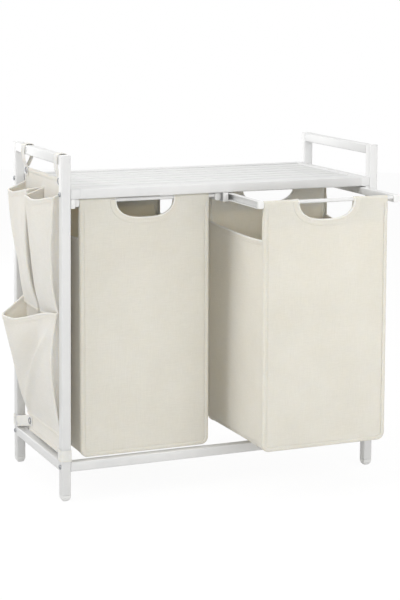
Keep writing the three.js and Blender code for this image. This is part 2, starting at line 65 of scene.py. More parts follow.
# A white studio: a floor that shows as white to the camera but keeps most of the hamper's shadow,
# and plain soft light from lamps on the left, in front, on the right, overhead and behind, with a
# small one at the camera that reaches into the bags.
fill_light = 0.42
floor_glow = 1.06
floor_whiteness = 0.88
floor_radius = 6
hamper_middle = Vector((0, 0, 0.35))
scene = bpy.context.scene
scene.view_settings.view_transform = "Standard"
world = bpy.data.worlds.new("studio")
world.use_nodes = True
scene.world = world
world_tree = world.node_tree
soft_light = world_tree.nodes["Background"]
soft_light.inputs["Color"].default_value = (1, 0.995, 0.985, 1)
soft_light.inputs["Strength"].default_value = fill_light
white_light = world_tree.nodes.new("ShaderNodeBackground")
white_light.inputs["Color"].default_value = (1, 1, 1, 1)


def seen_rays(tree):
    """A socket that is 1 on rays from the camera, from glossy surfaces and through clear ones."""
    path = tree.nodes.new("ShaderNodeLightPath")
    seen = path.outputs["Is Camera Ray"]
    for kind in ("Is Glossy Ray", "Is Transmission Ray"):
        either = tree.nodes.new("ShaderNodeMath")
        either.operation = "MAXIMUM"
        tree.links.new(seen, either.inputs[0])
        tree.links.new(path.outputs[kind], either.inputs[1])
        seen = either.outputs["Value"]
    return seen


def mix_shaders(tree, share, plain, seen, target):
    """Wires a mix of two shader sockets, by the share of the second, to the target socket."""
    mix = tree.nodes.new("ShaderNodeMixShader")
    for source, socket in zip((share, plain, seen), mix.inputs):
        tree.links.new(source, socket)
    tree.links.new(mix.outputs["Shader"], target)


mix_shaders(
    world_tree,
    seen_rays(world_tree),
    soft_light.outputs["Background"],
    white_light.outputs["Background"],
    world_tree.nodes["World Output"].inputs["Surface"],
)

bpy.ops.mesh.primitive_circle_add(vertices=96, radius=floor_radius, fill_type="NGON")
floor = bpy.context.active_object
floor.name = "studio_floor"
floor_paint = bpy.data.materials.new("floor_paint")
floor_paint.use_nodes = True
floor_tree = floor_paint.node_tree
floor_shader = floor_tree.nodes["Principled BSDF"]
floor_shader.inputs["Base Color"].default_value = (0.66, 0.66, 0.655, 1)
floor_shader.inputs["Roughness"].default_value = 0.8
floor_white = floor_tree.nodes.new("ShaderNodeEmission")
floor_white.inputs["Strength"].default_value = floor_glow
floor_share = floor_tree.nodes.new("ShaderNodeMath")
floor_share.operation = "MULTIPLY"
floor_share.inputs[1].default_value = floor_whiteness
floor_tree.links.new(seen_rays(floor_tree), floor_share.inputs[0])
mix_shaders(
    floor_tree,
    floor_share.outputs["Value"],
    floor_shader.outputs["BSDF"],
    floor_white.outputs["Emission"],
    floor_tree.nodes["Material Output"].inputs["Surface"],
)
floor.data.materials.append(floor_paint)


def studio_lamp(name, place, size, power):
    """A square lamp that shines on the hamper's middle and isn't seen itself."""
    data = bpy.data.lights.new(name, "AREA")
    data.shape = "SQUARE"
    data.size = size
    data.energy = power
    lamp = bpy.data.objects.new(name, data)
    lamp.visible_camera = False
    bpy.context.collection.objects.link(lamp)
    lamp.location = place
    lamp.rotation_euler = (hamper_middle - Vector(place)).to_track_quat("-Z", "Y").to_euler()


studio_lamp("lamp_left", (-2.4, -0.3, 1.9), 1.8, 27)
studio_lamp("lamp_front", (-1.2, -3.3, 1.0), 2.0, 13)
studio_lamp("lamp_camera", (-1.45, -3.35, 1.05), 0.5, 9)
studio_lamp("lamp_right", (0.75, -1.5, 0.8), 1.2, 9.2)
studio_lamp("lamp_top", (-0.2, 0.3, 3.0), 2.4, 27)
studio_lamp("lamp_back", (-0.7, 2.7, 0.75), 1.4, 17)


# Legs, handles and low rails: 20 mm square steel tube with 2.5 mm round corners, cut square and
# deburred, and powder coated white. The coat has a fine orange peel and a slightly uneven gloss.
def new_finish(name, colour, roughness, metallic=0.0):
    """A material with one shader, and nothing in it that varies yet."""
    material = bpy.data.materials.new(name)
    material.use_nodes = True
    shader = material.node_tree.nodes["Principled BSDF"]
    shader.inputs["Base Color"].default_value = (*colour, 1)
    shader.inputs["Roughness"].default_value = roughness
    shader.inputs["Metallic"].default_value = metallic
    return material, shader


def add_node(material, kind, *inputs, **settings):
    """Adds a node. Each input is a socket's name or number with its value or the socket it reads."""
    tree = material.node_tree
    node = tree.nodes.new("ShaderNode" + kind)
    for setting, value in settings.items():
        setattr(node, setting, value)
    for socket, value in inputs:
        if isinstance(value, bpy.types.NodeSocket):
            tree.links.new(value, node.inputs[socket])
        else:
            node.inputs[socket].default_value = value
    return node


def drive(material, output, socket):
    """Lets a node's output decide one of the shader's sockets."""
    shader = material.node_tree.nodes["Principled BSDF"]
    material.node_tree.links.new(output, shader.inputs[socket])


def speckle(material, place, scale, detail, *inputs):
    """A cloudy noise over the surface, from 0 to 1."""
    sockets = (("Vector", place), ("Scale", scale), ("Detail", detail), *inputs)
    return add_node(material, "TexNoise", *sockets).outputs["Fac"]


def vary_colour(material, amount, *stops):
    """Lets the colour run between two stops, each an amount and the colour there."""
    ramp = add_node(material, "ValToRGB", ("Fac", amount))
    for element, (position, colour) in zip(ramp.color_ramp.elements, stops):
        element.position = position
        element.color = (*colour, 1)
    drive(material, ramp.outputs["Color"], "Base Color")


def vary_gloss(material, amount, roughness, amounts=(0, 1)):
    """Lets the roughness run between two values as the amount does between two others."""
    sockets = ("From Min", "From Max", "To Min", "To Max")
    gloss = add_node(material, "MapRange", ("Value", amount), *zip(sockets, (*amounts, *roughness)))
    drive(material, gloss.outputs["Result"], "Roughness")


def add_relief(material, height, strength, depth):
    """Lets a height between 0 and 1 roughen the surface by a depth in metres."""
    bump = add_node(material, "Bump", ("Height", height), ("Strength", strength), ("Distance", depth))
    drive(material, bump.outputs["Normal"], "Normal")


def powder_coat():
    """White powder coat: orange peel, and faint clouds in its tone and its gloss."""
    material, _ = new_finish("powder_coat", (0.77, 0.77, 0.765), 0.42)
    place = add_node(material, "TexCoord").outputs["Object"]
    clouds = speckle(material, place, 14, 4, ("Roughness", 0.6))
    vary_colour(material, clouds, (0.3, (0.745, 0.749, 0.748)), (0.62, (0.785, 0.786, 0.78)))
    vary_gloss(material, clouds, (0.36, 0.5), amounts=(0.3, 0.7))
    add_relief(material, speckle(material, place, 950, 2), 0.35, 0.00012)
    return material


steel_coat = powder_coat()
same_place = 1e-5
same_way = 0.9


def clear_selection(kind):
    """Deselects the whole mesh of the active piece, and sets edit mode to pick EDGE or FACE."""
    bpy.ops.object.mode_set(mode="EDIT")
    bpy.ops.mesh.select_mode(type=kind)
    bpy.ops.mesh.select_all(action="DESELECT")
    bpy.ops.object.mode_set(mode="OBJECT")


def select_edges(piece, wanted):
    """Leaves only the edges selected for which wanted(start, end) holds, in edit mode."""
    clear_selection("EDGE")
    points = piece.data.vertices
    for edge in piece.data.edges:
        edge.select = wanted(points[edge.vertices[0]].co, points[edge.vertices[1]].co)
    bpy.ops.object.mode_set(mode="EDIT")


def select_faces(piece, wanted):
    """Leaves only the faces selected for which wanted(centre, normal) holds, in edit mode."""
    clear_selection("FACE")
    for face in piece.data.polygons:
        face.select = wanted(face.center, face.normal)
    bpy.ops.object.mode_set(mode="EDIT")


def runs_along(axis):
    """Picks the edges that run along axis number 0, 1 or 2."""
    return lambda a, b: abs(a[axis] - b[axis]) > same_place


def looks_to(*direction):
    """Picks the faces that look in a direction."""
    return lambda centre, normal: normal.dot(Vector(direction)) > same_way


def round_off(radius, segments):
    """Rounds the selected edges, or the edges of the selected faces."""
    bpy.ops.mesh.bevel(offset=radius, segments=segments, affect="EDGES")


def extrude(x, y, z):
    """Draws the selected faces out."""
    bpy.ops.mesh.extrude_region_move(TRANSFORM_OT_translate={"value": (x, y, z)})


def block(name, low, high):
    """A block between two corners, alone selected, with its place in its mesh."""
    bpy.ops.object.select_all(action="DESELECT")
    bpy.ops.mesh.primitive_cube_add(size=1, location=(low + high) / 2, scale=high - low)
    piece = bpy.context.active_object
    piece.name = piece.data.name = name
    bpy.ops.object.transform_apply(location=True, rotation=True, scale=True)
    return piece


def pick(*pieces):
    """Selects the pieces alone, and makes the first of them active."""
    bpy.ops.object.select_all(action="DESELECT")
    for piece in pieces:
        piece.select_set(True)
    bpy.context.view_layer.objects.active = pieces[0]


def dress(piece, material, body, slot, *nodes):
    """Gives a finished piece its material, its body and the nodes that it replaces. Its slot is not
    used.
    """
    pick(piece)
    bpy.ops.object.shade_smooth_by_angle(angle=math.radians(35))
    piece.data.materials.append(material)
    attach(piece, body)
    if nodes:
        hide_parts(*nodes)


tube_corner = 0.0025
tube_wall = 0.0012
cut_edge = 0.0005
leg_open_depth = 0.004
leg_top_skin = 1e-4


def square_tube(name, low, high, run):
    """A tube along axis number run, with round long edges and lightly rounded ends."""
    tube = block(name, low, high)
    select_edges(tube, runs_along(run))
    round_off(tube_corner, 4)

    def on_an_end(a, b):
        """Picks the edges of the tube's two cut ends."""
        ends = (low[run], high[run])
        return any(max(abs(a[run] - end), abs(b[run] - end)) < same_place for end in ends)

    select_edges(tube, on_an_end)
    round_off(cut_edge, 2)
    bpy.ops.object.mode_set(mode="OBJECT")
    return tube


places = [f"{end}_{side}" for end in ("front", "back") for side in ("left", "right")]
for place in places:
    low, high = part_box(f"leg_{place}")
    leg = square_tube(f"leg_tube_{place}", low, high, 2)
    top_face = high.z - leg_top_skin
    select_faces(leg, lambda centre, normal: normal.z > same_way and centre.z > top_face)
    bpy.ops.mesh.inset(thickness=tube_wall - cut_edge)
    extrude(0, 0, -leg_open_depth)
    bpy.ops.object.mode_set(mode="OBJECT")
    dress(leg, steel_coat, "frame", "steel", f"leg_{place}")
for kind, side, run in (
    ("handle", "left", 1),
    ("low_rail", "left", 1),
    ("handle", "right", 1),
    ("low_rail", "right", 1),
    ("low_rail", "front", 0),
    ("low_rail", "back", 0),
):
    tube = square_tube(f"{kind}_tube_{side}", *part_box(f"{kind}_{side}"), run)
    dress(tube, steel_coat, "frame", "steel", f"{kind}_{side}")


# Plugs and feet: white moulded polyethylene. A plug with a low crown closes each leg's top, and a
# foot that narrows in a soft curve to a flat tip is pressed into its lower end.
def moulded_plastic():
    """White moulded plastic with a satin skin and a very fine spark-eroded grain."""
    material, _ = new_finish("moulded_plastic", (0.84, 0.84, 0.83), 0.46)
    place = add_node(material, "TexCoord").outputs["Object"]
    flow = speckle(material, place, 55, 3, ("Distortion", 0.6))
    vary_gloss(material, flow, (0.38, 0.54))
    add_relief(material, speckle(material, place, 2600, 2), 0.3, 0.00006)
    return material


plastic = moulded_plastic()
plug_inset = Vector((tube_wall + 0.0003, tube_wall + 0.0003, 0))
plug_depth = 0.0039
plug_crown = 0.0007
plug_corner = 0.0016
plug_edge = 0.0011
foot_height = 0.013
foot_collar = 0.003
foot_stem_inset = 0.0015
foot_stem_length = 0.0139
# How far each step of the foot drops, and what it leaves of the foot's width.
foot_steps = ((0.0035, 0.93), (0.0030, 0.86), (0.0020, 0.82), (0.0010, 0.78), (0.0005, 0.72))
for place in places:
    low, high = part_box(f"leg_{place}")
    plug_low = Vector((low.x, low.y, high.z - plug_depth)) + plug_inset
    plug_high = Vector((high.x, high.y, 0)) - plug_inset + Vector((0, 0, high.z + plug_crown))
    plug = block(f"leg_plug_{place}", plug_low, plug_high)
    select_edges(plug, runs_along(2))
    round_off(plug_corner, 3)
    select_faces(plug, looks_to(0, 0, 1))
    round_off(plug_edge, 3)
    bpy.ops.object.mode_set(mode="OBJECT")
    dress(plug, plastic, "frame", "plastic")

    low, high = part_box(f"foot_{place}")
    shoulder = low.z + foot_height
    collar_low = Vector((low.x, low.y, shoulder - foot_collar))
    foot = block(f"foot_plug_{place}", collar_low, Vector((high.x, high.y, shoulder)))
    select_edges(foot, runs_along(2))
    round_off(tube_corner, 4)
    centre = Vector(((low.x + high.x) / 2, (low.y + high.y) / 2, low.z))
    select_faces(foot, looks_to(0, 0, -1))
    for drop, narrowing in foot_steps:
        extrude(0, 0, -drop)
        bpy.ops.transform.resize(value=(narrowing, narrowing, 1), center_override=centre)
    select_faces(foot, looks_to(0, 0, 1))
    bpy.ops.mesh.inset(thickness=foot_stem_inset)
    extrude(0, 0, foot_stem_length)
    bpy.ops.object.mode_set(mode="OBJECT")
    dress(foot, plastic, "frame", "plastic", f"foot_{place}")


# Bolts: zinc-plated M6 button heads with a hexagon socket. One goes through each leg into the end
# of a low rail and one into the shelf, and each head sits flat on the leg's outer face.
def zinc_plate():
    """Bright zinc: metallic, with faint blue-grey clouds in its tone and its gloss."""
    material, _ = new_finish("zinc_plate", (0.35, 0.36, 0.38), 0.34, metallic=1.0)
    place = add_node(material, "TexCoord").outputs["Object"]
    clouds = speckle(material, place, 420, 3)
    vary_colour(material, clouds, (0.35, (0.27, 0.28, 0.30)), (0.65, (0.43, 0.44, 0.45)))
    vary_gloss(material, clouds, (0.26, 0.46))
    return material


def cylinder(name, sides, radius, length, middle, turn=(0, math.pi / 2, 0)):
    """A cylinder, along the x axis where it isn't turned, alone selected, placed in its mesh."""
    bpy.ops.object.select_all(action="DESELECT")
    bpy.ops.mesh.primitive_cylinder_add(
        vertices=sides, radius=radius, depth=length, location=middle, rotation=turn
    )
    piece = bpy.context.active_object
    piece.name = piece.data.name = name
    bpy.ops.object.transform_apply(location=True, rotation=True, scale=True)
    return piece


def cut_out(piece, tool):
    """Cuts the tool's shape out of the piece, and removes the tool."""
    bpy.context.view_layer.objects.active = piece
    cut = piece.modifiers.new("cut", "BOOLEAN")
    cut.object = tool
    cut.solver = "EXACT"
    bpy.ops.object.modifier_apply(modifier="cut")
    bpy.data.objects.remove(tool)


zinc = zinc_plate()
head_radius = 0.005
head_height = 0.0024
head_edge = 0.0015
shank_radius = 0.003
shank_length = 0.03
socket_radius = 0.0022
socket_tool_length = 0.003
for level in ("low", "shelf"):
    for place in places:
        low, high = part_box(f"bolt_{level}_{place}")
        outward = -1 if place.endswith("left") else 1
        seat = (low + high) / 2
        seat.x = low.x + head_height if outward < 0 else high.x - head_height
        along = Vector((outward * head_height, 0, 0))
        bolt = cylinder(f"bolt_head_{level}_{place}", 36, head_radius, head_height, seat + along / 2)
        select_faces(bolt, looks_to(outward, 0, 0))
        round_off(head_edge, 4)
        select_faces(bolt, looks_to(-outward, 0, 0))
        bpy.ops.mesh.inset(thickness=head_radius - shank_radius)
        extrude(-outward * shank_length, 0, 0)
        bpy.ops.object.mode_set(mode="OBJECT")
        cut_out(bolt, cylinder("socket_tool", 6, socket_radius, socket_tool_length, seat + along))
        dress(bolt, zinc, "frame", "zinc", f"bolt_{level}_{place}")


# Shelf: two end tubes that run from front to back, two long tubes between them, and seven pressed
# slats, all welded and powder coated as one. Each slat is 1.2 mm sheet folded down at both edges.
def thicken(piece, thickness):
    """Gives the active piece, a sheet, its thickness inwards."""
    wall = piece.modifiers.new("wall", "SOLIDIFY")
    wall.thickness = thickness
    wall.offset = -1
    bpy.ops.object.modifier_apply(modifier="wall")


def channel(name, low, high, run, opening, wall, corner):
    """A folded sheet channel along axis number run, open towards the vector opening."""
    piece = block(name, low, high)
    side = max(range(3), key=lambda i: abs(opening[i]))
    is_open = looks_to(*opening)
    select_faces(piece, lambda centre, normal: abs(normal[run]) > same_way or is_open(centre, normal))
    bpy.ops.mesh.delete(type="FACE")
    web = low[side] if opening[side] > 0 else high[side]
    is_long = runs_along(run)
    select_edges(piece, lambda a, b: is_long(a, b) and abs(a[side] - web) < same_place)
    round_off(corner, 4)
    bpy.ops.object.mode_set(mode="OBJECT")
    thicken(piece, wall)
    edges = piece.modifiers.new("edges", "BEVEL")
    edges.width = 0.2 * wall
    edges.segments = 2
    edges.limit_method = "ANGLE"
    edges.angle_limit = math.radians(60)
    bpy.ops.object.modifier_apply(modifier="edges")
    return piece


def joined(pieces, name):
    """Several pieces as one object with one mesh."""
    pick(*pieces)
    bpy.ops.object.join()
    whole = bpy.context.active_object
    whole.name = whole.data.name = name
    return whole


slat_count = 7
slat_width = 0.034
slat_height = 0.010
slat_drop = 0.002
slat_corner = 0.0016
tube_size = 0.020
shelf_low, shelf_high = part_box("shelf")
shelf_pieces = []
for x0 in (shelf_low.x, shelf_high.x - tube_size):
    low = Vector((x0, shelf_low.y, shelf_low.z))
    high = Vector((x0 + tube_size, shelf_high.y, shelf_high.z))
    shelf_pieces.append(square_tube("shelf_end", low, high, 1))
for y0 in (shelf_low.y, shelf_high.y - tube_size):
    low = Vector((shelf_low.x + tube_size, y0, shelf_low.z))
    high = Vector((shelf_high.x - tube_size, y0 + tube_size, shelf_high.z))
    shelf_pieces.append(square_tube("shelf_edge", low, high, 0))
slat_pitch = (shelf_high.y - shelf_low.y - 2 * tube_size) / slat_count
slat_top = shelf_high.z - slat_drop
for i in range(slat_count):
    y = (shelf_low.y + shelf_high.y) / 2 + (i - (slat_count - 1) / 2) * slat_pitch
    low = Vector((shelf_low.x + tube_size - tube_wall, y - slat_width / 2, slat_top - slat_height))
    high = Vector((shelf_high.x - tube_size + tube_wall, y + slat_width / 2, slat_top))
    slat = channel("slat", low, high, 0, Vector((0, 0, -1)), tube_wall, slat_corner)
    shelf_pieces.append(slat)
shelf = joined(shelf_pieces, "shelf_welded")
dress(shelf, steel_coat, "frame", "steel", "shelf")

# Runners: folded steel channels fixed under the shelf's tubes, one at each end and two back to back
# in the middle. A plastic guide closes the front of each groove and carries the hanger's bar, and a
# thin moulded cap closes each runner's front end.
runner_wall = 0.0015
runner_corner = 0.0018
centre_corner = 0.001
end_thickness = 0.0012
end_corner = 0.0012
end_edge = 0.0005
for side, opening in (("left", 1), ("right", -1)):
    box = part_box(f"runner_{side}")
    runner = channel(
        f"runner_channel_{side}", *box, 1, Vector((opening, 0, 0)), runner_wall, runner_corner
    )
    dress(runner, steel_coat, "frame", "steel", f"runner_{side}")
low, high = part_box("runner_centre")
middle = (low.x + high.x) / 2
halves = [
    channel("runner_half", *box, 1, Vector((opening, 0, 0)), runner_wall / 2, centre_corner)
    for opening, box in (
        (-1, (low, Vector((middle, high.y, high.z)))),
        (1, (Vector((middle, low.y, low.z)), high)),
    )
]
runner = joined(halves, "runner_channel_centre")
dress(runner, steel_coat, "frame", "steel", "runner_centre")
for side in ("left", "centre", "right"):
    low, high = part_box(f"runner_{side}")
    end_low = Vector((low.x, low.y - end_thickness, low.z))
    end = block(f"runner_end_{side}", end_low, Vector((high.x, low.y, high.z)))
    select_edges(end, runs_along(1))
    round_off(end_corner, 4)
    select_faces(end, looks_to(0, -1, 0))
    round_off(end_edge, 2)
    bpy.ops.object.mode_set(mode="OBJECT")
    dress(end, plastic, "frame", "plastic")
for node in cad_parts.values():
    if node.name.startswith("guide_") or "_slider_" in node.name:
        node.data.materials.clear()
        node.data.materials.append(plastic)

# Hangers: two channel bars, powder coated, that open outwards, with a moulded cap in front, and two
# 8 mm steel rods welded between them that carry the bag's sleeves. A slider sits in each bar's back.
bins = ("left", "right")
bar_wall = 0.0015
bar_corner = 0.0022
cap_length = 0.005
cap_corner = 0.0028
cap_edge = 0.0014
cap_stem_inset = 0.0019
cap_stem_length = 0.005
rod_edge = 0.0004
for bin_name in bins:
    body = f"{bin_name}_bin"
    for side, opening in (("left", -1), ("right", 1)):
        name = f"{bin_name}_bar_channel_{side}"
        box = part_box(f"{bin_name}_bar_{side}")
        bar = channel(name, *box, 1, Vector((opening, 0, 0)), bar_wall, bar_corner)
        dress(bar, steel_coat, body, "steel", f"{bin_name}_bar_{side}")
        low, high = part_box(f"{bin_name}_cap_{side}")
        cap_high = Vector((high.x, low.y + cap_length, high.z))
        cap = block(f"{bin_name}_cap_moulding_{side}", low, cap_high)
        select_edges(cap, runs_along(1))
        round_off(cap_corner, 5)
        select_faces(cap, looks_to(0, -1, 0))
        round_off(cap_edge, 4)
        select_faces(cap, looks_to(0, 1, 0))
        bpy.ops.mesh.inset(thickness=cap_stem_inset)
        extrude(0, cap_stem_length, 0)
        bpy.ops.object.mode_set(mode="OBJECT")
        dress(cap, plastic, body, "plastic", f"{bin_name}_cap_{side}")
    for end in ("front", "back"):
        low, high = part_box(f"{bin_name}_rod_{end}")
        radius = (high.z - low.z) / 2
        rod = cylinder(f"{bin_name}_rod_bar_{end}", 32, radius, high.x - low.x, (low + high) / 2)
        select_faces(rod, lambda centre, normal: abs(normal.x) > same_way)
        round_off(rod_edge, 2)
        bpy.ops.object.mode_set(mode="OBJECT")
        dress(rod, steel_coat, body, "steel", f"{bin_name}_rod_{end}")


# Bags: cream polyester canvas. The front and back panels are sewn to one strip that makes the sides
# and the bottom, and their edges roll back at that seam. On top each panel turns over its rod in a
# sleeve with a bound hand hole.
def canvas_weave(name, dark, light, thread_scale):
    """Plain weave between two tones of cream, with slubs both ways, faint clouds and a soft sheen."""
    material, shader = new_finish(name, light, 0.92)
    for socket, value in (
        ("Specular IOR Level", 0.25),
        ("Subsurface Weight", 0.5),
        ("Subsurface Radius", (0.0030, 0.0026, 0.0020)),
        ("Subsurface Scale", 1.0),
        ("Sheen Weight", 0.18),
        ("Sheen Roughness", 0.6),
        ("Sheen Tint", (1, 0.98, 0.94, 1)),
    ):
        shader.inputs[socket].default_value = value

    def maths(operation, *values):
        """The result of a Math node that works on values or sockets."""
        return add_node(material, "Math", *enumerate(values), operation=operation).outputs["Value"]

    place = add_node(material, "TexCoord").outputs["Object"]
    threads = []
    for axis in "XYZ":
        wave = (("Vector", place), ("Scale", thread_scale), ("Distortion", 0.6))
        detail = (("Detail", 0), ("Detail Scale", 0.3))
        node = add_node(material, "TexWave", *wave, *detail, bands_direction=axis)
        threads.append(node.outputs["Fac"])
    weave = maths("ADD", maths("ADD", threads[0], threads[1]), threads[2])
    slubs = []
    for stretch in ((70, 70, 1400), (1400, 1400, 50)):
        drawn = add_node(material, "Mapping", ("Vector", place), ("Scale", stretch))
        slubs.append(speckle(material, drawn.outputs["Vector"], 1, 3))
    slub = maths("ADD", *slubs)
    clouds = speckle(material, place, 9, 4, ("Roughness", 0.55))
    tone = maths("MULTIPLY_ADD", clouds, 0.5, maths("MULTIPLY", slub, 0.5))
    vary_colour(material, tone, (0.55, dark), (0.95, light))
    add_relief(material, maths("MULTIPLY_ADD", slub, 0.9, weave), 0.35, 0.00012)
    return material


def sewing_thread():
    """Twisted cream thread, a little lighter than the bags' canvas."""
    material, _ = new_finish("sewing_thread", (0.84, 0.81, 0.73), 0.7)
    place = add_node(material, "TexCoord").outputs["Object"]
    twist = add_node(material, "TexWave", ("Vector", place), ("Scale", 700), bands_direction="DIAGONAL")
    add_relief(material, twist.outputs["Fac"], 0.4, 0.0001)
    return material


canvas = canvas_weave("canvas", (0.735, 0.70, 0.615), (0.82, 0.785, 0.70), 349)
cotton_tape = canvas_weave("cotton_tape", (0.82, 0.80, 0.745), (0.89, 0.872, 0.825), 520)
thread = sewing_thread()


def cloth(name, across, along, point, thickness):
    """A cloth panel: a grid whose lines across and along go to point(u, s), thickened inwards."""
    columns, rows = len(across) - 1, len(along) - 1
    bpy.ops.object.select_all(action="DESELECT")
    bpy.ops.mesh.primitive_grid_add(x_subdivisions=columns, y_subdivisions=rows, size=1)
    panel = bpy.context.active_object
    panel.name = panel.data.name = name
    for vertex in panel.data.vertices:
        column = round((vertex.co.x + 0.5) * columns)
        row = round((vertex.co.y + 0.5) * rows)
        vertex.co = point(across[column], along[row])
    thicken(panel, thickness)
    return panel


def turn_outwards():
    """Turns the faces of the active piece outwards."""
    bpy.ops.object.mode_set(mode="EDIT")
    bpy.ops.mesh.select_all(action="SELECT")
    bpy.ops.mesh.normals_make_consistent(inside=False)
    bpy.ops.object.mode_set(mode="OBJECT")


def sweep(name, sections):
    """A closed strip through sections, each a ring of the same number of points."""
    count = len(sections[0])
    last = (len(sections) - 1) * count
    faces = []
    for start in range(0, last, count):
        for k in range(count):
            a, b = start + k, start + (k + 1) % count
            faces.append((a, b, b + count, a + count))
    faces.append(tuple(range(count)))
    faces.append(tuple(range(last + count - 1, last - 1, -1)))
    mesh = bpy.data.meshes.new(name)
    mesh.from_pydata([p for section in sections for p in section], [], faces)
    strip = bpy.data.objects.new(name, mesh)
    bpy.context.collection.objects.link(strip)
    pick(strip)
    turn_outwards()
    return strip


def direction_at(points, i):
    """Which way a line of points runs at its point number i."""
    return points[min(i + 1, len(points) - 1)] - points[max(i - 1, 0)]


def pressed(value, power):
    """A coordinate on the unit circle, moved so that the circle is pressed towards a square."""
    return math.copysign(abs(value) ** power, value)


band_sides = 12
band_squareness = 0.6


def band(name, points, outwards, width, thickness):
    """A tape with soft edges along a path, flat against the cloth that faces outwards."""
    corners = []
    for angle in np.linspace(0, 2 * math.pi, band_sides, endpoint=False):
        across = pressed(math.cos(angle), band_squareness) / 2
        corners.append((across, pressed(math.sin(angle), band_squareness) / 2))
    sections = []
    for i, (point, out) in enumerate(zip(points, outwards)):
        side = direction_at(points, i).cross(out).normalized()
        up = out.normalized()
        sections.append([point + side * a * width + up * b * thickness for a, b in corners])
    return sweep(name, sections)


stitch_length = 0.0027
stitch_pitch = 0.0040
thread_radius = 0.00035


def stitches(name, rows):
    """Rows of stitches, each a small spindle of thread. A row is a list of (point, outward)."""
    bpy.ops.object.select_all(action="DESELECT")
    bpy.ops.mesh.primitive_uv_sphere_add(segments=6, ring_count=4, radius=1)
    seam = bpy.context.active_object
    seam.name = seam.data.name = name
    spindle = np.array([v.co for v in seam.data.vertices])
    loops = [tuple(face.vertices) for face in seam.data.polygons]
    vertices, faces = [], []
    for row in rows:
        points = np.array([tuple(p) for p, _ in row])
        outs = np.array([tuple(o) for _, o in row])
        steps = np.linalg.norm(np.diff(points, axis=0), axis=1)
        along = np.concatenate([[0], np.cumsum(steps)])
        for s in np.arange(stitch_pitch / 2, along[-1], stitch_pitch):
            i = min(np.searchsorted(along, s) - 1, len(steps) - 1)
            share = (s - along[i]) / steps[i]
            centre = points[i] + share * (points[i + 1] - points[i])
            ahead = (points[i + 1] - points[i]) / steps[i]
            out = outs[i] - ahead * outs[i].dot(ahead)
            out /= np.linalg.norm(out)
            side = np.cross(ahead, out)
            axes = np.array([side * thread_radius, out * thread_radius, ahead * stitch_length / 2])
            base = len(vertices)
            vertices.extend(spindle @ axes + centre)
            faces.extend(tuple(base + k for k in loop) for loop in loops)
    mesh = bpy.data.meshes.new(name)
    mesh.from_pydata([tuple(v) for v in vertices], [], faces)
    seam.data = mesh
    turn_outwards()
    return seam


def smooth_step(x):
    """Runs smoothly from 0 to 1 as x does, and stays there outside."""
    x = min(max(x, 0), 1)
    return x * x * (3 - 2 * x)


def ridge(distance, height, width):
    """The height of a smooth ridge at a distance from its line."""
    return height * math.exp(-((distance / width) ** 2))


cloth_thickness = 0.0012
hem_thickness = 0.0026
# The cloth hangs a little lower than its solid, and from hang_start under its rod it leans to the
# right and swells, but not near its edges.
bag_corner = 0.0155
bag_drop = 0.0042
bag_lean = 0.0065
hang_start = 0.020
large_swell, small_swell = 0.0032, 0.0011
swell_margin, swell_top = 0.05, 0.08
# The sleeve goes over the rod and is sewn down behind the face, where its seam dents the face.
sleeve_radius = 0.0052
sleeve_fall = 0.053
sleeve_gap = 3.2 * cloth_thickness
sleeve_taper = 0.04
taper_fall, pinch_fall = 0.012, 0.026
sleeve_seam_rise = 0.003
sleeve_seam_margin = 0.010
sleeve_dent, sleeve_dent_width = 0.0007, 0.0014
# The panels' edges roll back to their seam with the strip, hardly at the sleeve and fully below it.
roll_top = 0.0115
roll_start, roll_run = 0.008, 0.03
least_roll, least_edge_roll = 0.1, 0.6
edge_radius = 0.0045
edge_roll = 0.0011
edge_lap = 0.0045
seam_inset = 0.0085
seam_dent, seam_dent_width = 0.0009, 0.0013
edge_seam_shift, edge_seam_depth = 0.0006, 0.0005
stitch_lift = 0.0009
# The strip's upper edges dip between the panels, slope down to the front and sag.
side_dip = 0.077
side_slope = 0.0055
side_sag = 0.007
side_hollow, side_tuck = 0.002, 0.0035
side_bulge, side_wave = 0.0035, 0.0042
side_hem_width, side_hem_drop = 0.0100, 0.0055
side_binding_width, side_binding_thickness, side_binding_drop = 0.0036, 0.0040, 0.0008
side_seam_drop, side_stitch_lift = 0.0085, 0.0010
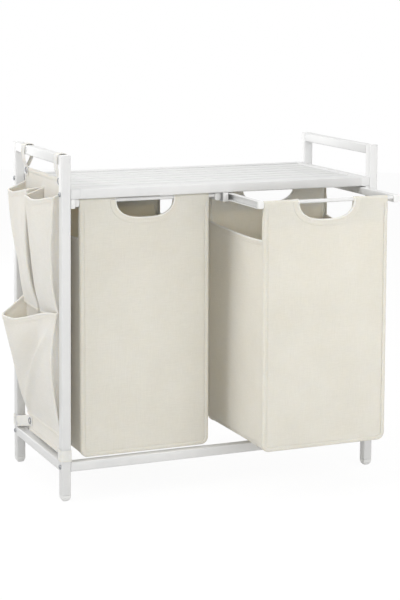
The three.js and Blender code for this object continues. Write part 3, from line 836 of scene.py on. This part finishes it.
# The hand hole is a flattened half circle with a bound edge and a facing round it.
hole_width = 0.131
hole_depth = 0.0445
hole_squareness = 1 / 1.3
hole_tool_length, hole_tool_rise = 0.06, 0.02
binding_width = 0.0034
binding_thickness = 0.0060
binding_overlap = 0.0012
facing_width = 0.0125
facing_thickness = 0.0020
facing_seams = (0.0046, 0.0012)
hole_margin = 0.008
for number, bin_name in enumerate(bins):
    body = f"{bin_name}_bin"
    bag_low, bag_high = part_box(f"{bin_name}_bag")
    bag_low.z -= bag_drop
    rod_low, rod_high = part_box(f"{bin_name}_rod_front")
    rod_z = (rod_low.z + rod_high.z) / 2
    bag_top = bag_high.z
    width = bag_high.x - bag_low.x
    middle_x = (bag_low.x + bag_high.x) / 2
    seam_z = rod_z - sleeve_fall + sleeve_seam_rise

    def edge_distance(x, z):
        """How far a point of a flat panel lies inside the panel's outline."""
        across = width / 2 - abs(x - middle_x)
        above = z - bag_low.z
        if across < bag_corner and above < bag_corner:
            return bag_corner - math.hypot(bag_corner - across, bag_corner - above)
        return min(across, above)

    def flatness(z):
        """How far the panel's edges have rolled back at a height: hardly at the sleeve, fully below."""
        return max(smooth_step((rod_z - roll_start - z) / roll_run), least_roll)

    def half_width(above):
        """Half the panel's width at a height above its bottom, where its corners are round."""
        if above >= bag_corner:
            return width / 2
        return width / 2 - bag_corner + math.sqrt(bag_corner**2 - (bag_corner - above) ** 2)

    # The panel's columns stand close at its edges, where it rolls back and is sewn.
    roll_columns = edge_radius * (1 - np.cos(np.linspace(0, math.pi / 2, 8)))
    seam_columns = np.array([0.0056, 0.0067, 0.0077, 0.0085, 0.0093, 0.0103, 0.0115])
    edge_shares = np.concatenate([roll_columns / width, seam_columns / width])
    middle_shares = np.linspace(edge_shares[-1], 1 - edge_shares[-1], 42)[1:-1]
    shares = [*edge_shares, *middle_shares, *(1 - edge_shares[::-1])]
    face_rise = rod_z - bag_low.z
    arc = math.pi * sleeve_radius
    stations = [
        *(face_rise * (1 - np.cos(np.linspace(0, math.pi / 2, 14))) * 0.08),
        *np.linspace(0.09 * face_rise, face_rise, 84),
        *(face_rise + np.linspace(0, arc, 13)[1:]),
        *(face_rise + arc + np.linspace(0, sleeve_fall, 14)[1:]),
    ]

    # The outline along which a panel's edge is rolled and sewn: a point and the way inwards there.
    low_middle = Vector((bag_low.x + bag_corner, 0, bag_low.z + bag_corner))
    outline = []
    for z in np.linspace(rod_z - roll_top, bag_low.z + bag_corner, 60):
        outline.append((Vector((bag_low.x, 0, z)), Vector((1, 0, 0))))
    for angle in np.linspace(0, math.pi / 2, 14)[1:]:
        inwards = Vector((math.cos(angle), 0, math.sin(angle)))
        outline.append((low_middle - inwards * bag_corner, inwards))
    for x in np.linspace(bag_low.x + bag_corner, middle_x, 24)[1:]:
        outline.append((Vector((x, 0, bag_low.z)), Vector((0, 0, 1))))
    for point, inwards in reversed(outline[:-1]):
        mirrored = Vector((2 * middle_x - point.x, 0, point.z))
        outline.append((mirrored, Vector((-inwards.x, 0, inwards.z))))

    # The rolled edge's section: how far inwards from the outline, and how far behind the face.
    turns = np.linspace(0, math.pi / 2, 7)
    outer = edge_radius - 0.0008 + edge_roll
    edge_end = edge_radius + edge_lap
    profile = [
        (seam_inset, 0.0002),
        (seam_inset - 0.0006, -0.5 * edge_roll),
        (seam_inset - 0.0018, -edge_roll),
        *((outer * (1 - math.sin(t)) - edge_roll, outer * (1 - math.cos(t)) - edge_roll) for t in turns),
        (-edge_roll, edge_end - 0.001),
        (-0.4 * edge_roll, edge_end),
        (0.0002, edge_end),
        *(
            (edge_radius * (1 - math.sin(t)), edge_radius * (1 - math.cos(t)) + 0.0003)
            for t in turns[::-1]
        ),
    ]
    panels, hems, bindings, rows = [], [], [], []
    for facing, face_y, seed in ((-1, bag_low.y, 3.7 + number), (1, bag_high.y, 8.2 + number)):
        outward = Vector((0, facing, 0))

        def panel_point(x, z):
            """The outer surface of the front panel (facing -1) or of the back one (facing 1)."""
            if z > rod_z:
                rise = min((z - rod_z) / sleeve_radius, 1)
                y = face_y - facing * sleeve_radius * (1 - math.sqrt(1 - rise * rise))
                return Vector((x, y, z))
            inside = edge_distance(x, z)
            past = min(max(edge_radius - inside, 0), edge_radius)
            depth = (edge_radius - math.sqrt(edge_radius**2 - past**2)) * flatness(z)
            depth += ridge(z - seam_z, sleeve_dent, sleeve_dent_width)
            depth += ridge(inside - seam_inset, seam_dent, seam_dent_width) * flatness(z)
            hanging = rod_z - hang_start - z
            calm = smooth_step(inside / swell_margin) * smooth_step(hanging / swell_top)
            place = Vector((x * 4.2, z * 2.1, seed))
            swell = large_swell * noise.noise(place) + small_swell * noise.noise(place * 3.1)
            return Vector((x, face_y - facing * (depth - calm * swell), z))

        def sleeve_point(u, s):
            """The panel at a length s: up its face, over the rod, and down behind the face."""
            x = middle_x - facing * (u - 0.5) * 2 * half_width(min(s, face_rise))
            if s <= face_rise:
                return panel_point(x, bag_low.z + s)
            if s <= face_rise + arc:
                angle = (s - face_rise) / sleeve_radius
                y = face_y - facing * sleeve_radius * (1 - math.cos(angle))
                return Vector((x, y, rod_z + sleeve_radius * math.sin(angle)))
            fall = s - face_rise - arc
            x += (middle_x - x) * sleeve_taper * smooth_step(fall / taper_fall)
            pinch = (sleeve_gap - 2 * sleeve_radius) * smooth_step(fall / pinch_fall)
            return Vector((x, face_y - facing * (2 * sleeve_radius + pinch), rod_z - fall))

        def hole_line(outset):
            """Points on the panel round the hand hole, at an outset from its edge, and the way out."""
            line = []
            for angle in np.linspace(math.pi, 2 * math.pi, 65):
                x = pressed(math.cos(angle), hole_squareness) * (hole_width / 2 + outset)
                z = pressed(math.sin(angle), hole_squareness) * (hole_depth + outset)
                line.append(panel_point(middle_x + x, bag_top + z))
            return line, [outward] * len(line)

        panel = cloth(f"{bin_name}_bag_panel", shares, stations, sleeve_point, cloth_thickness)
        hole_tool = cylinder("hole_tool", 96, 1, hole_tool_length, (0, 0, 0), turn=(math.pi / 2, 0, 0))
        for vertex in hole_tool.data.vertices:
            x = pressed(vertex.co.x, hole_squareness) * hole_width / 2
            z = vertex.co.z * hole_tool_rise
            if z < 0:
                z = pressed(vertex.co.z, hole_squareness) * hole_depth
            vertex.co = (middle_x + x, face_y + vertex.co.y, bag_top + z)
        cut_out(panel, hole_tool)
        panels.append(panel)

        sections = []
        for point, inwards in outline:
            roll = max(flatness(point.z), least_edge_roll)
            section = []
            for a, b in profile:
                y = face_y - facing * ((b + edge_roll) * roll - edge_roll)
                section.append(point + inwards * a + Vector((0, y, 0)))
            sections.append(section)
        hems.append(sweep("edge_roll", sections))
        seam_y = Vector((0, face_y - facing * edge_seam_depth, 0))
        shift = seam_inset + edge_seam_shift
        rows.append([(p + inwards * shift + seam_y, outward) for p, inwards in outline])

        hems.append(band("hole_facing", *hole_line(facing_width / 2), facing_width, facing_thickness))
        rim, outs = hole_line(binding_width / 2 - binding_overlap)
        inner = [p - outward * binding_overlap for p in rim]
        bindings.append(band("hole_binding", inner, outs, binding_width, binding_thickness))
        for inset in facing_seams:
            line = zip(*hole_line(facing_width - inset))
            rows.append([(p + outward * stitch_lift, o) for p, o in line])
        beside_hole = hole_width / 2 + hole_margin
        for x0, x1 in (
            (bag_low.x + sleeve_seam_margin, middle_x - beside_hole),
            (middle_x + beside_hole, bag_high.x - sleeve_seam_margin),
        ):
            rows.append([(panel_point(x, seam_z), outward) for x in np.linspace(x0, x1, 20)])

    straight = bag_top - side_dip - bag_low.z - bag_corner
    bend = math.pi / 2 * bag_corner
    bottom = width - 2 * bag_corner
    stops = np.cumsum([0, straight, bend, bottom, bend, straight])
    strip_stations = []
    for start, stop, count in zip(stops, stops[1:], (50, 9, 24, 9, 50)):
        strip_stations += [*np.linspace(start, stop, count + 1)[:-1]]
    strip_stations.append(stops[-1])

    def strip_point(u, s):
        """The outer surface of the strip: down the left side, under the bag and up the right side."""
        y = bag_low.y + edge_radius + u * (bag_high.y - bag_low.y - 2 * edge_radius)
        mid = 4 * u * (1 - u)
        if s <= stops[1] or s >= stops[4]:
            right = s >= stops[4]
            share = 1 - (stops[5] - s if right else s) / straight
            z = bag_low.z + bag_corner + (straight - side_sag * mid - side_slope * (1 - u)) * share
            wave = noise.noise(Vector((y * 7, z * 2.4, 11.3 + number + (5 if right else 0))))
            press = side_bulge * mid * smooth_step((1 - share) * 3) * (0.5 - share)
            press += side_wave * mid * wave
            inward = side_hollow * mid + side_tuck * mid * smooth_step((share - 0.6) / 0.4) - press
            return Vector((bag_high.x - inward if right else bag_low.x + inward, y, z))
        if s < stops[2] or s > stops[3]:
            angle = (s - stops[1] if s < stops[2] else stops[4] - s) / bag_corner
            x = bag_corner * (1 - math.cos(angle)) + side_hollow * mid * math.cos(angle)
            z = bag_low.z + bag_corner * (1 - math.sin(angle))
            return Vector((bag_low.x + x if s < stops[2] else bag_high.x - x, y, z))
        return Vector((bag_low.x + bag_corner + s - stops[2], y, bag_low.z))

    across = np.linspace(0, 1, 35)
    strip = cloth(f"{bin_name}_bag_strip", across, strip_stations, strip_point, cloth_thickness)
    bag = joined([*panels, strip], f"{bin_name}_bag_canvas")
    for s, side_x in ((0.0, -1), (stops[-1], 1)):
        side = Vector((side_x, 0, 0))
        rim = [strip_point(u, s) for u in np.linspace(0, 1, 40)]
        wall_middle = [p - side * cloth_thickness / 2 for p in rim]
        sides = [side] * len(rim)
        hem = [p - Vector((0, 0, side_hem_drop)) for p in wall_middle]
        hems.append(band("side_hem", hem, sides, side_hem_width, hem_thickness))
        edge = [p - Vector((0, 0, side_binding_drop)) for p in wall_middle]
        bindings.append(band("side_binding", edge, sides, side_binding_width, side_binding_thickness))
        to_seam = side * side_stitch_lift - Vector((0, 0, side_seam_drop))
        rows.append([(p + to_seam, side) for p in rim])
    hem = joined(hems, f"{bin_name}_bag_hems")
    binding = joined(bindings, f"{bin_name}_bag_bindings")
    seams = stitches(f"{bin_name}_bag_stitches", rows)
    for piece in (bag, hem, binding, seams):
        for vertex in piece.data.vertices:
            vertex.co.x += bag_lean * max(rod_z - hang_start - vertex.co.z, 0)
    dress(bag, canvas, body, "canvas", f"{bin_name}_bag")
    dress(hem, canvas, body, "canvas")
    dress(binding, cotton_tape, body, "canvas")
    dress(seams, thread, body, "canvas")


# Organiser: a panel of the same canvas as the bags, its colour painted a little paler than theirs as
# painted light for the stronger light from the left. It hangs between the left legs and is hemmed all
# round, with two upper pockets and a wide lower one sewn to its outer side. Their gussets let them
# stand out at the top.
def smooth_value(values, share):
    """The value at a share of the way along a smooth curve through evenly spaced values."""
    place = min(max(share, 0), 1) * (len(values) - 1)
    i = min(int(place), len(values) - 2)
    f = place - i
    a, b, c, d = (values[min(max(k, 0), len(values) - 1)] for k in (i - 1, i, i + 1, i + 2))
    return b + 0.5 * f * (c - a + f * (2 * a - 5 * b + 4 * c - d + f * (3 * (b - c) + d - a)))


# The bags' canvas painted paler: painted light for the brighter light on the organiser's left side.
painted_light_canvas = canvas_weave("painted_light_canvas", (0.78, 0.747, 0.68), (0.865, 0.833, 0.765), 349)
panel_low, panel_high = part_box("organiser_panel")
panel_taper = 0.022
taper_top = 0.390
panel_wave = 0.0012


def panel_x(y, z):
    """The panel's outer face, which hangs in faint waves."""
    wave = noise.noise(Vector((y * 9, z * 3.5, 2.6)))
    return panel_low.x + panel_wave * wave * smooth_step((panel_high.z - z) / 0.03)


def back_edge(z):
    """The panel's back edge, which runs in towards the bottom."""
    return panel_high.y - panel_taper * min(max((taper_top - z) / (taper_top - panel_low.z), 0), 1)


def panel_face(u, z):
    """The panel's outer face at a height, from its back edge (u = 0) to its front edge (u = 1)."""
    y = panel_low.y + (1 - u) * (back_edge(z) - panel_low.y)
    return Vector((panel_x(y, z), y, z))


across = np.linspace(0, 1, 33)
heights = np.linspace(panel_low.z, panel_high.z, 79)
panel = cloth("organiser_panel_sheet", across, heights, panel_face, cloth_thickness)
dress(panel, painted_light_canvas, "frame", "canvas", "organiser_panel")
hem_width = 0.010
half_hem = hem_width / 2
hem_seam_inset = 0.0018
hem_stitch_lift = 0.0008
left = Vector((-1, 0, 0))
organiser_hems = []
organiser_bindings = []
organiser_rows = []
for path, inwards in (
    ([panel_face(0, z) - Vector((0, half_hem, 0)) for z in heights], (0, -1, 0)),
    ([panel_face(1, z) + Vector((0, half_hem, 0)) for z in heights], (0, 1, 0)),
    ([panel_face(u, panel_high.z - half_hem) for u in across], (0, 0, -1)),
    ([panel_face(u, panel_low.z + half_hem) for u in across], (0, 0, 1)),
):
    wall_middle = [p - left * cloth_thickness / 2 for p in path]
    organiser_hems.append(band("panel_hem", wall_middle, [left] * len(path), hem_width, hem_thickness))
    to_seam = Vector(inwards) * (half_hem - hem_seam_inset) + left * hem_stitch_lift
    organiser_rows.append([(p + to_seam, left) for p in path])

gusset_columns = 9
fold_columns = 6
wall_columns = 34
pocket_gap = 0.0003
fold_limit = 0.45
gusset_bow, low_gusset_bow = 0.0020, 0.0050
pleat_depth, wall_belly = 0.0022, 0.0012
rim_hem_width, rim_hem_drop = 0.0105, 0.0045
rim_binding_width, rim_binding_thickness, rim_binding_drop = 0.0044, 0.0042, 0.0010
rim_seam_drop, rim_stitch_lift = 0.0095, 0.0012
sole_share = 0.012
sole_width, sole_thickness, sole_depth = 0.0080, 0.0030, 0.0006
sole_stitch_lift = 0.0016


def outward_from(line, across):
    """The way out from a cloth at each point of a line on it, square to the direction across."""
    return [direction_at(line, i).cross(across).normalized() for i in range(len(line))]


def pocket(node, bottom, ends, rims, back_reaches, front_reaches, folds, panel_rim, drape=None):
    """A pocket of one cloth wall: back gusset, fold, outer wall, fold, front gusset.

    ends are its front and back y. rims are the rim's heights along the outer wall, from the back.
    The reaches say how far its back and front fold stand off the panel, from the bottom up.
    """
    y_front, y_back = ends
    columns = [
        (part, k / count)
        for part, count in (
            ("back", gusset_columns),
            ("back_fold", fold_columns),
            ("wall", wall_columns),
            ("front_fold", fold_columns),
            ("front", gusset_columns),
        )
        for k in range(count)
    ]
    columns.append(("front", 1.0))

    def pocket_point(column, t):
        """The pocket's outer surface at a column, and at a share t of the way up to its rim."""
        part, share = columns[int(column)]
        back, front = smooth_value(back_reaches, t), smooth_value(front_reaches, t)
        y1 = min(y_back, back_edge(bottom + (rims[0] - bottom) * t))
        back_fold, front_fold = min(folds[0], fold_limit * back), min(folds[1], fold_limit * front)
        bow = gusset_bow + low_gusset_bow * (1 - t)
        bow *= math.sin(math.pi * share) * smooth_step(3 * t)
        short, long = 1 - math.cos(share * math.pi / 2), 1 - math.sin(share * math.pi / 2)
        if part == "back":
            reach, y = share * (back - back_fold), y1 - bow
        elif part == "back_fold":
            reach, y = back - back_fold * long, y1 - back_fold * short
        elif part == "front_fold":
            reach, y = front - front_fold * short, y_front + front_fold * long
        elif part == "front":
            reach, y = (1 - share) * (front - front_fold), y_front + bow
        else:
            y = (y1 - back_fold) + (y_front + front_fold - y1 + back_fold) * share
            reach = back + (front - back) * share
        if part == "wall":
            rim = smooth_value(rims, share)
            middle = 4 * share * (1 - share)
            stand = pleat_depth * noise.noise(Vector((y * 26, t * 1.7, bottom * 40)))
            stand += wall_belly * math.sin(math.pi * t)
            reach += middle * stand * smooth_step(4 * t)
            reach += middle * drape(share, t) if drape else 0
        elif part.startswith("back"):
            rim = panel_rim + (rims[0] - panel_rim) * reach / back
        else:
            rim = panel_rim + (rims[-1] - panel_rim) * reach / front
        z = bottom + (rim - bottom) * t
        return Vector((panel_x(y, z) - pocket_gap - reach, y, z))

    def along_rim(drop):
        """A line along the pocket's wall, a drop below its rim."""
        share = 1 - drop / (rims[0] - bottom)
        return [pocket_point(c, share) for c in range(len(columns))]

    rows = np.linspace(0, 1, 57)
    wall = cloth(f"{node}_cloth", range(len(columns)), rows, pocket_point, cloth_thickness)
    dress(wall, painted_light_canvas, "frame", "canvas", node)
    hem_line = along_rim(rim_hem_drop)
    outs = outward_from(hem_line, Vector((0, 0, 1)))
    hem_middle = [p - o * cloth_thickness / 2 for p, o in zip(hem_line, outs)]
    organiser_hems.append(band("rim_hem", hem_middle, outs, rim_hem_width, hem_thickness))
    edge_middle = [p - o * cloth_thickness / 2 for p, o in zip(along_rim(rim_binding_drop), outs)]
    binding = band("rim_binding", edge_middle, outs, rim_binding_width, rim_binding_thickness)
    organiser_bindings.append(binding)
    seam_line = zip(along_rim(rim_seam_drop), outs)
    organiser_rows.append([(p + o * rim_stitch_lift, o) for p, o in seam_line])
    sewn_columns = range(gusset_columns, len(columns) - gusset_columns)
    sole = [pocket_point(c, sole_share) - left * sole_depth for c in sewn_columns]
    organiser_hems.append(band("pocket_sole", sole, [left] * len(sole), sole_width, sole_thickness))
    organiser_rows.append([(p + left * sole_stitch_lift, left) for p in sole])


def diagonal_drape(share, t):
    """The wide pocket's ridge from its front end's top to its low back corner, and a hollow over it."""
    over = t - 0.9 * share
    return ridge(over, 0.0110, 0.06) - ridge(over - 0.3, 0.0210, 0.16) * smooth_step(3 * (1 - t))


upper_bottom = 0.376
upper_panel_rim = 0.640
upper_split = 0.0482
pocket(
    "pocket_upper_back",
    bottom=upper_bottom,
    ends=(upper_split + 0.0065, panel_high.y),
    rims=(0.6225, 0.6215, 0.6255, 0.630, 0.6355),
    back_reaches=(0.005, 0.0135, 0.021, 0.031, 0.0378, 0.041),
    front_reaches=(0.010, 0.0267, 0.0364, 0.0403, 0.0390, 0.0365),
    folds=(0.007, 0.0045),
    panel_rim=upper_panel_rim,
)
pocket(
    "pocket_upper_front",
    bottom=upper_bottom,
    ends=(panel_low.y, upper_split - 0.0015),
    rims=(0.625, 0.6205, 0.6225, 0.628, 0.6325),
    back_reaches=(0.009, 0.0205, 0.0275, 0.0330, 0.0375, 0.0420),
    front_reaches=(0.005, 0.018, 0.024, 0.0255, 0.023, 0.020),
    folds=(0.0035, 0.0030),
    panel_rim=upper_panel_rim,
)
pocket(
    "pocket_lower",
    bottom=0.131,
    ends=(panel_low.y, panel_high.y),
    rims=(0.350, 0.3505, 0.3605, 0.3735, 0.386, 0.392),
    back_reaches=(0.003, 0.018, 0.028, 0.0375, 0.0475, 0.056),
    front_reaches=(0.003, 0.0125, 0.0205, 0.025, 0.0215, 0.013),
    folds=(0.007, 0.0030),
    panel_rim=0.394,
    drape=diagonal_drape,
)

# Straps: cotton tapes, 24 mm wide with two rows of stitches. The top two pass over the handle and
# close in a V, the low two go round the legs, and each is held to the panel by a nickel ring snap.
strap_cloth = 0.0013
strap_steps = 90
strap_seam_inset = 0.0022
tube_gap = 0.0011
tail_gap = 0.0012
tail_length = 0.022
low_strap_rise = 0.017
strap_corner = 0.0028
top_snap_z = 0.665
ring_depth = 0.0026
ring_width = 0.0021
ring_size = 0.0145
near_circle = 2e-4


def tape_strap(name, points, across, width, node):
    """A tape whose middle line runs smoothly through the points, with its width along across."""
    line = [smooth_value(points, k / strap_steps) for k in range(strap_steps + 1)]
    outs = outward_from(line, across)
    tape = band(name, line, outs, width, strap_cloth)
    dress(tape, cotton_tape, "frame", "canvas", node)
    for side in (-1, 1):
        shift = across * side * (width / 2 - strap_seam_inset)
        organiser_rows.append([(p + shift + o * strap_cloth / 2, o) for p, o in zip(line, outs)])


def ring_snap(name, place):
    """A nickel ring snap, facing left: an open ring with a round lip, clenched on the cloth."""
    outer, inner = ring_size / 2, ring_size / 2 - ring_width
    snap = cylinder(name, 40, outer, ring_depth, place, turn=(0, -math.pi / 2, 0))

    def rim(radius):
        """Picks the edges of the ring's flat circles of a radius."""

        def is_on_it(a, b):
            """Whether both ends of an edge lie on one of the circles."""
            radii = (math.hypot(p.y - place.y, p.z - place.z) for p in (a, b))
            return abs(a.x - b.x) < same_place and all(abs(r - radius) < near_circle for r in radii)

        return is_on_it

    select_faces(snap, lambda centre, normal: abs(normal.x) > same_way)
    bpy.ops.mesh.inset(thickness=ring_width)
    bpy.ops.mesh.delete(type="FACE")
    select_edges(snap, rim(inner))
    bpy.ops.mesh.bridge_edge_loops()
    for radius in (outer, inner):
        select_edges(snap, rim(radius))
        round_off(ring_width * 0.3, 3)
    bpy.ops.object.mode_set(mode="OBJECT")
    dress(snap, zinc, "frame", "zinc")


handle_low, handle_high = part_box("handle_left")
top, under = handle_high.z, handle_low.z
for end in ("back", "front"):
    low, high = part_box(f"strap_top_{end}")
    y = (low.y + high.y) / 2
    tail_x = panel_low.x - tail_gap
    x0, x1 = handle_low.x - tube_gap, handle_high.x + tube_gap
    path = [
        (tail_x, 0.6545),
        (tail_x - 0.0003, 0.672),
        (x0 + 0.0018, under - 0.012),
        (x0 - 0.0002, under + 0.004),
        (x0, top - 0.004),
        (x0 + 0.0035, top + 0.0012),
        ((x0 + x1) / 2, top + 0.0024),
        (x1 - 0.0035, top + 0.0012),
        (x1, top - 0.004),
        (x1 + 0.0001, under + 0.003),
        (x1 - 0.0035, under - 0.008),
        (tail_x + 0.0045, 0.6775),
        (tail_x + 0.0026, 0.674),
    ]
    points = [Vector((x, y, z)) for x, z in path]
    tape_strap(f"strap_top_tape_{end}", points, Vector((0, 1, 0)), high.y - low.y, f"strap_top_{end}")
    ring_snap(f"strap_top_snap_{end}", Vector((tail_x - 0.0010, y, top_snap_z)))
for end, toward, rise, panel_edge in (
    ("back", -1, low_strap_rise, back_edge),
    ("front", 1, 0.0, lambda z: panel_low.y),
):
    low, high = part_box(f"strap_low_{end}")
    leg_low, leg_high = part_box(f"leg_{end}_left")
    z = (low.z + high.z) / 2
    edge_y = panel_edge(z)
    x0, x1 = leg_low.x - tube_gap, leg_high.x + tube_gap
    near = (leg_low.y if toward < 0 else leg_high.y) + toward * tube_gap
    far = (leg_high.y if toward < 0 else leg_low.y) - toward * tube_gap
    path = [
        (panel_low.x - tail_gap, edge_y + toward * tail_length),
        (panel_low.x - 0.0014, edge_y + toward * 0.004),
        (x0 + 0.0006, near + toward * 0.0005),
        (x0, near - toward * strap_corner),
        (x0, (near + far) / 2),
        (x0, far + toward * strap_corner),
        (x0 + strap_corner, far),
        ((x0 + x1) / 2, far),
        (x1 - strap_corner, far),
        (x1, far + toward * strap_corner),
        (x1, near - toward * strap_corner),
        (x1 - strap_corner, near),
        (panel_low.x + 0.0045, near + toward * 0.0008),
        (panel_low.x + 0.0030, near + toward * 0.0030),
    ]
    points = [Vector((x, y, z + rise * smooth_step((near - 0.004 - y) / 0.03))) for x, y in path]
    across = Vector((0, 0, toward))
    tape_strap(f"strap_low_tape_{end}", points, across, high.z - low.z, f"strap_low_{end}")
    snap_place = Vector((panel_low.x - 0.0024, edge_y + toward * 0.010, z + 0.001 + rise))
    ring_snap(f"strap_low_snap_{end}", snap_place)

# The organiser's sewing: its hems, bindings and stitches are one piece each. The panel is a sheet
# of canvas that hangs from the left handle, cut with a taper at its lower back corner.
hem = joined(organiser_hems, "organiser_hems")
dress(hem, painted_light_canvas, "frame", "canvas")
binding = joined(organiser_bindings, "organiser_bindings")
dress(binding, cotton_tape, "frame", "canvas")
seams = stitches("organiser_stitches", organiser_rows)
dress(seams, thread, "frame", "canvas")
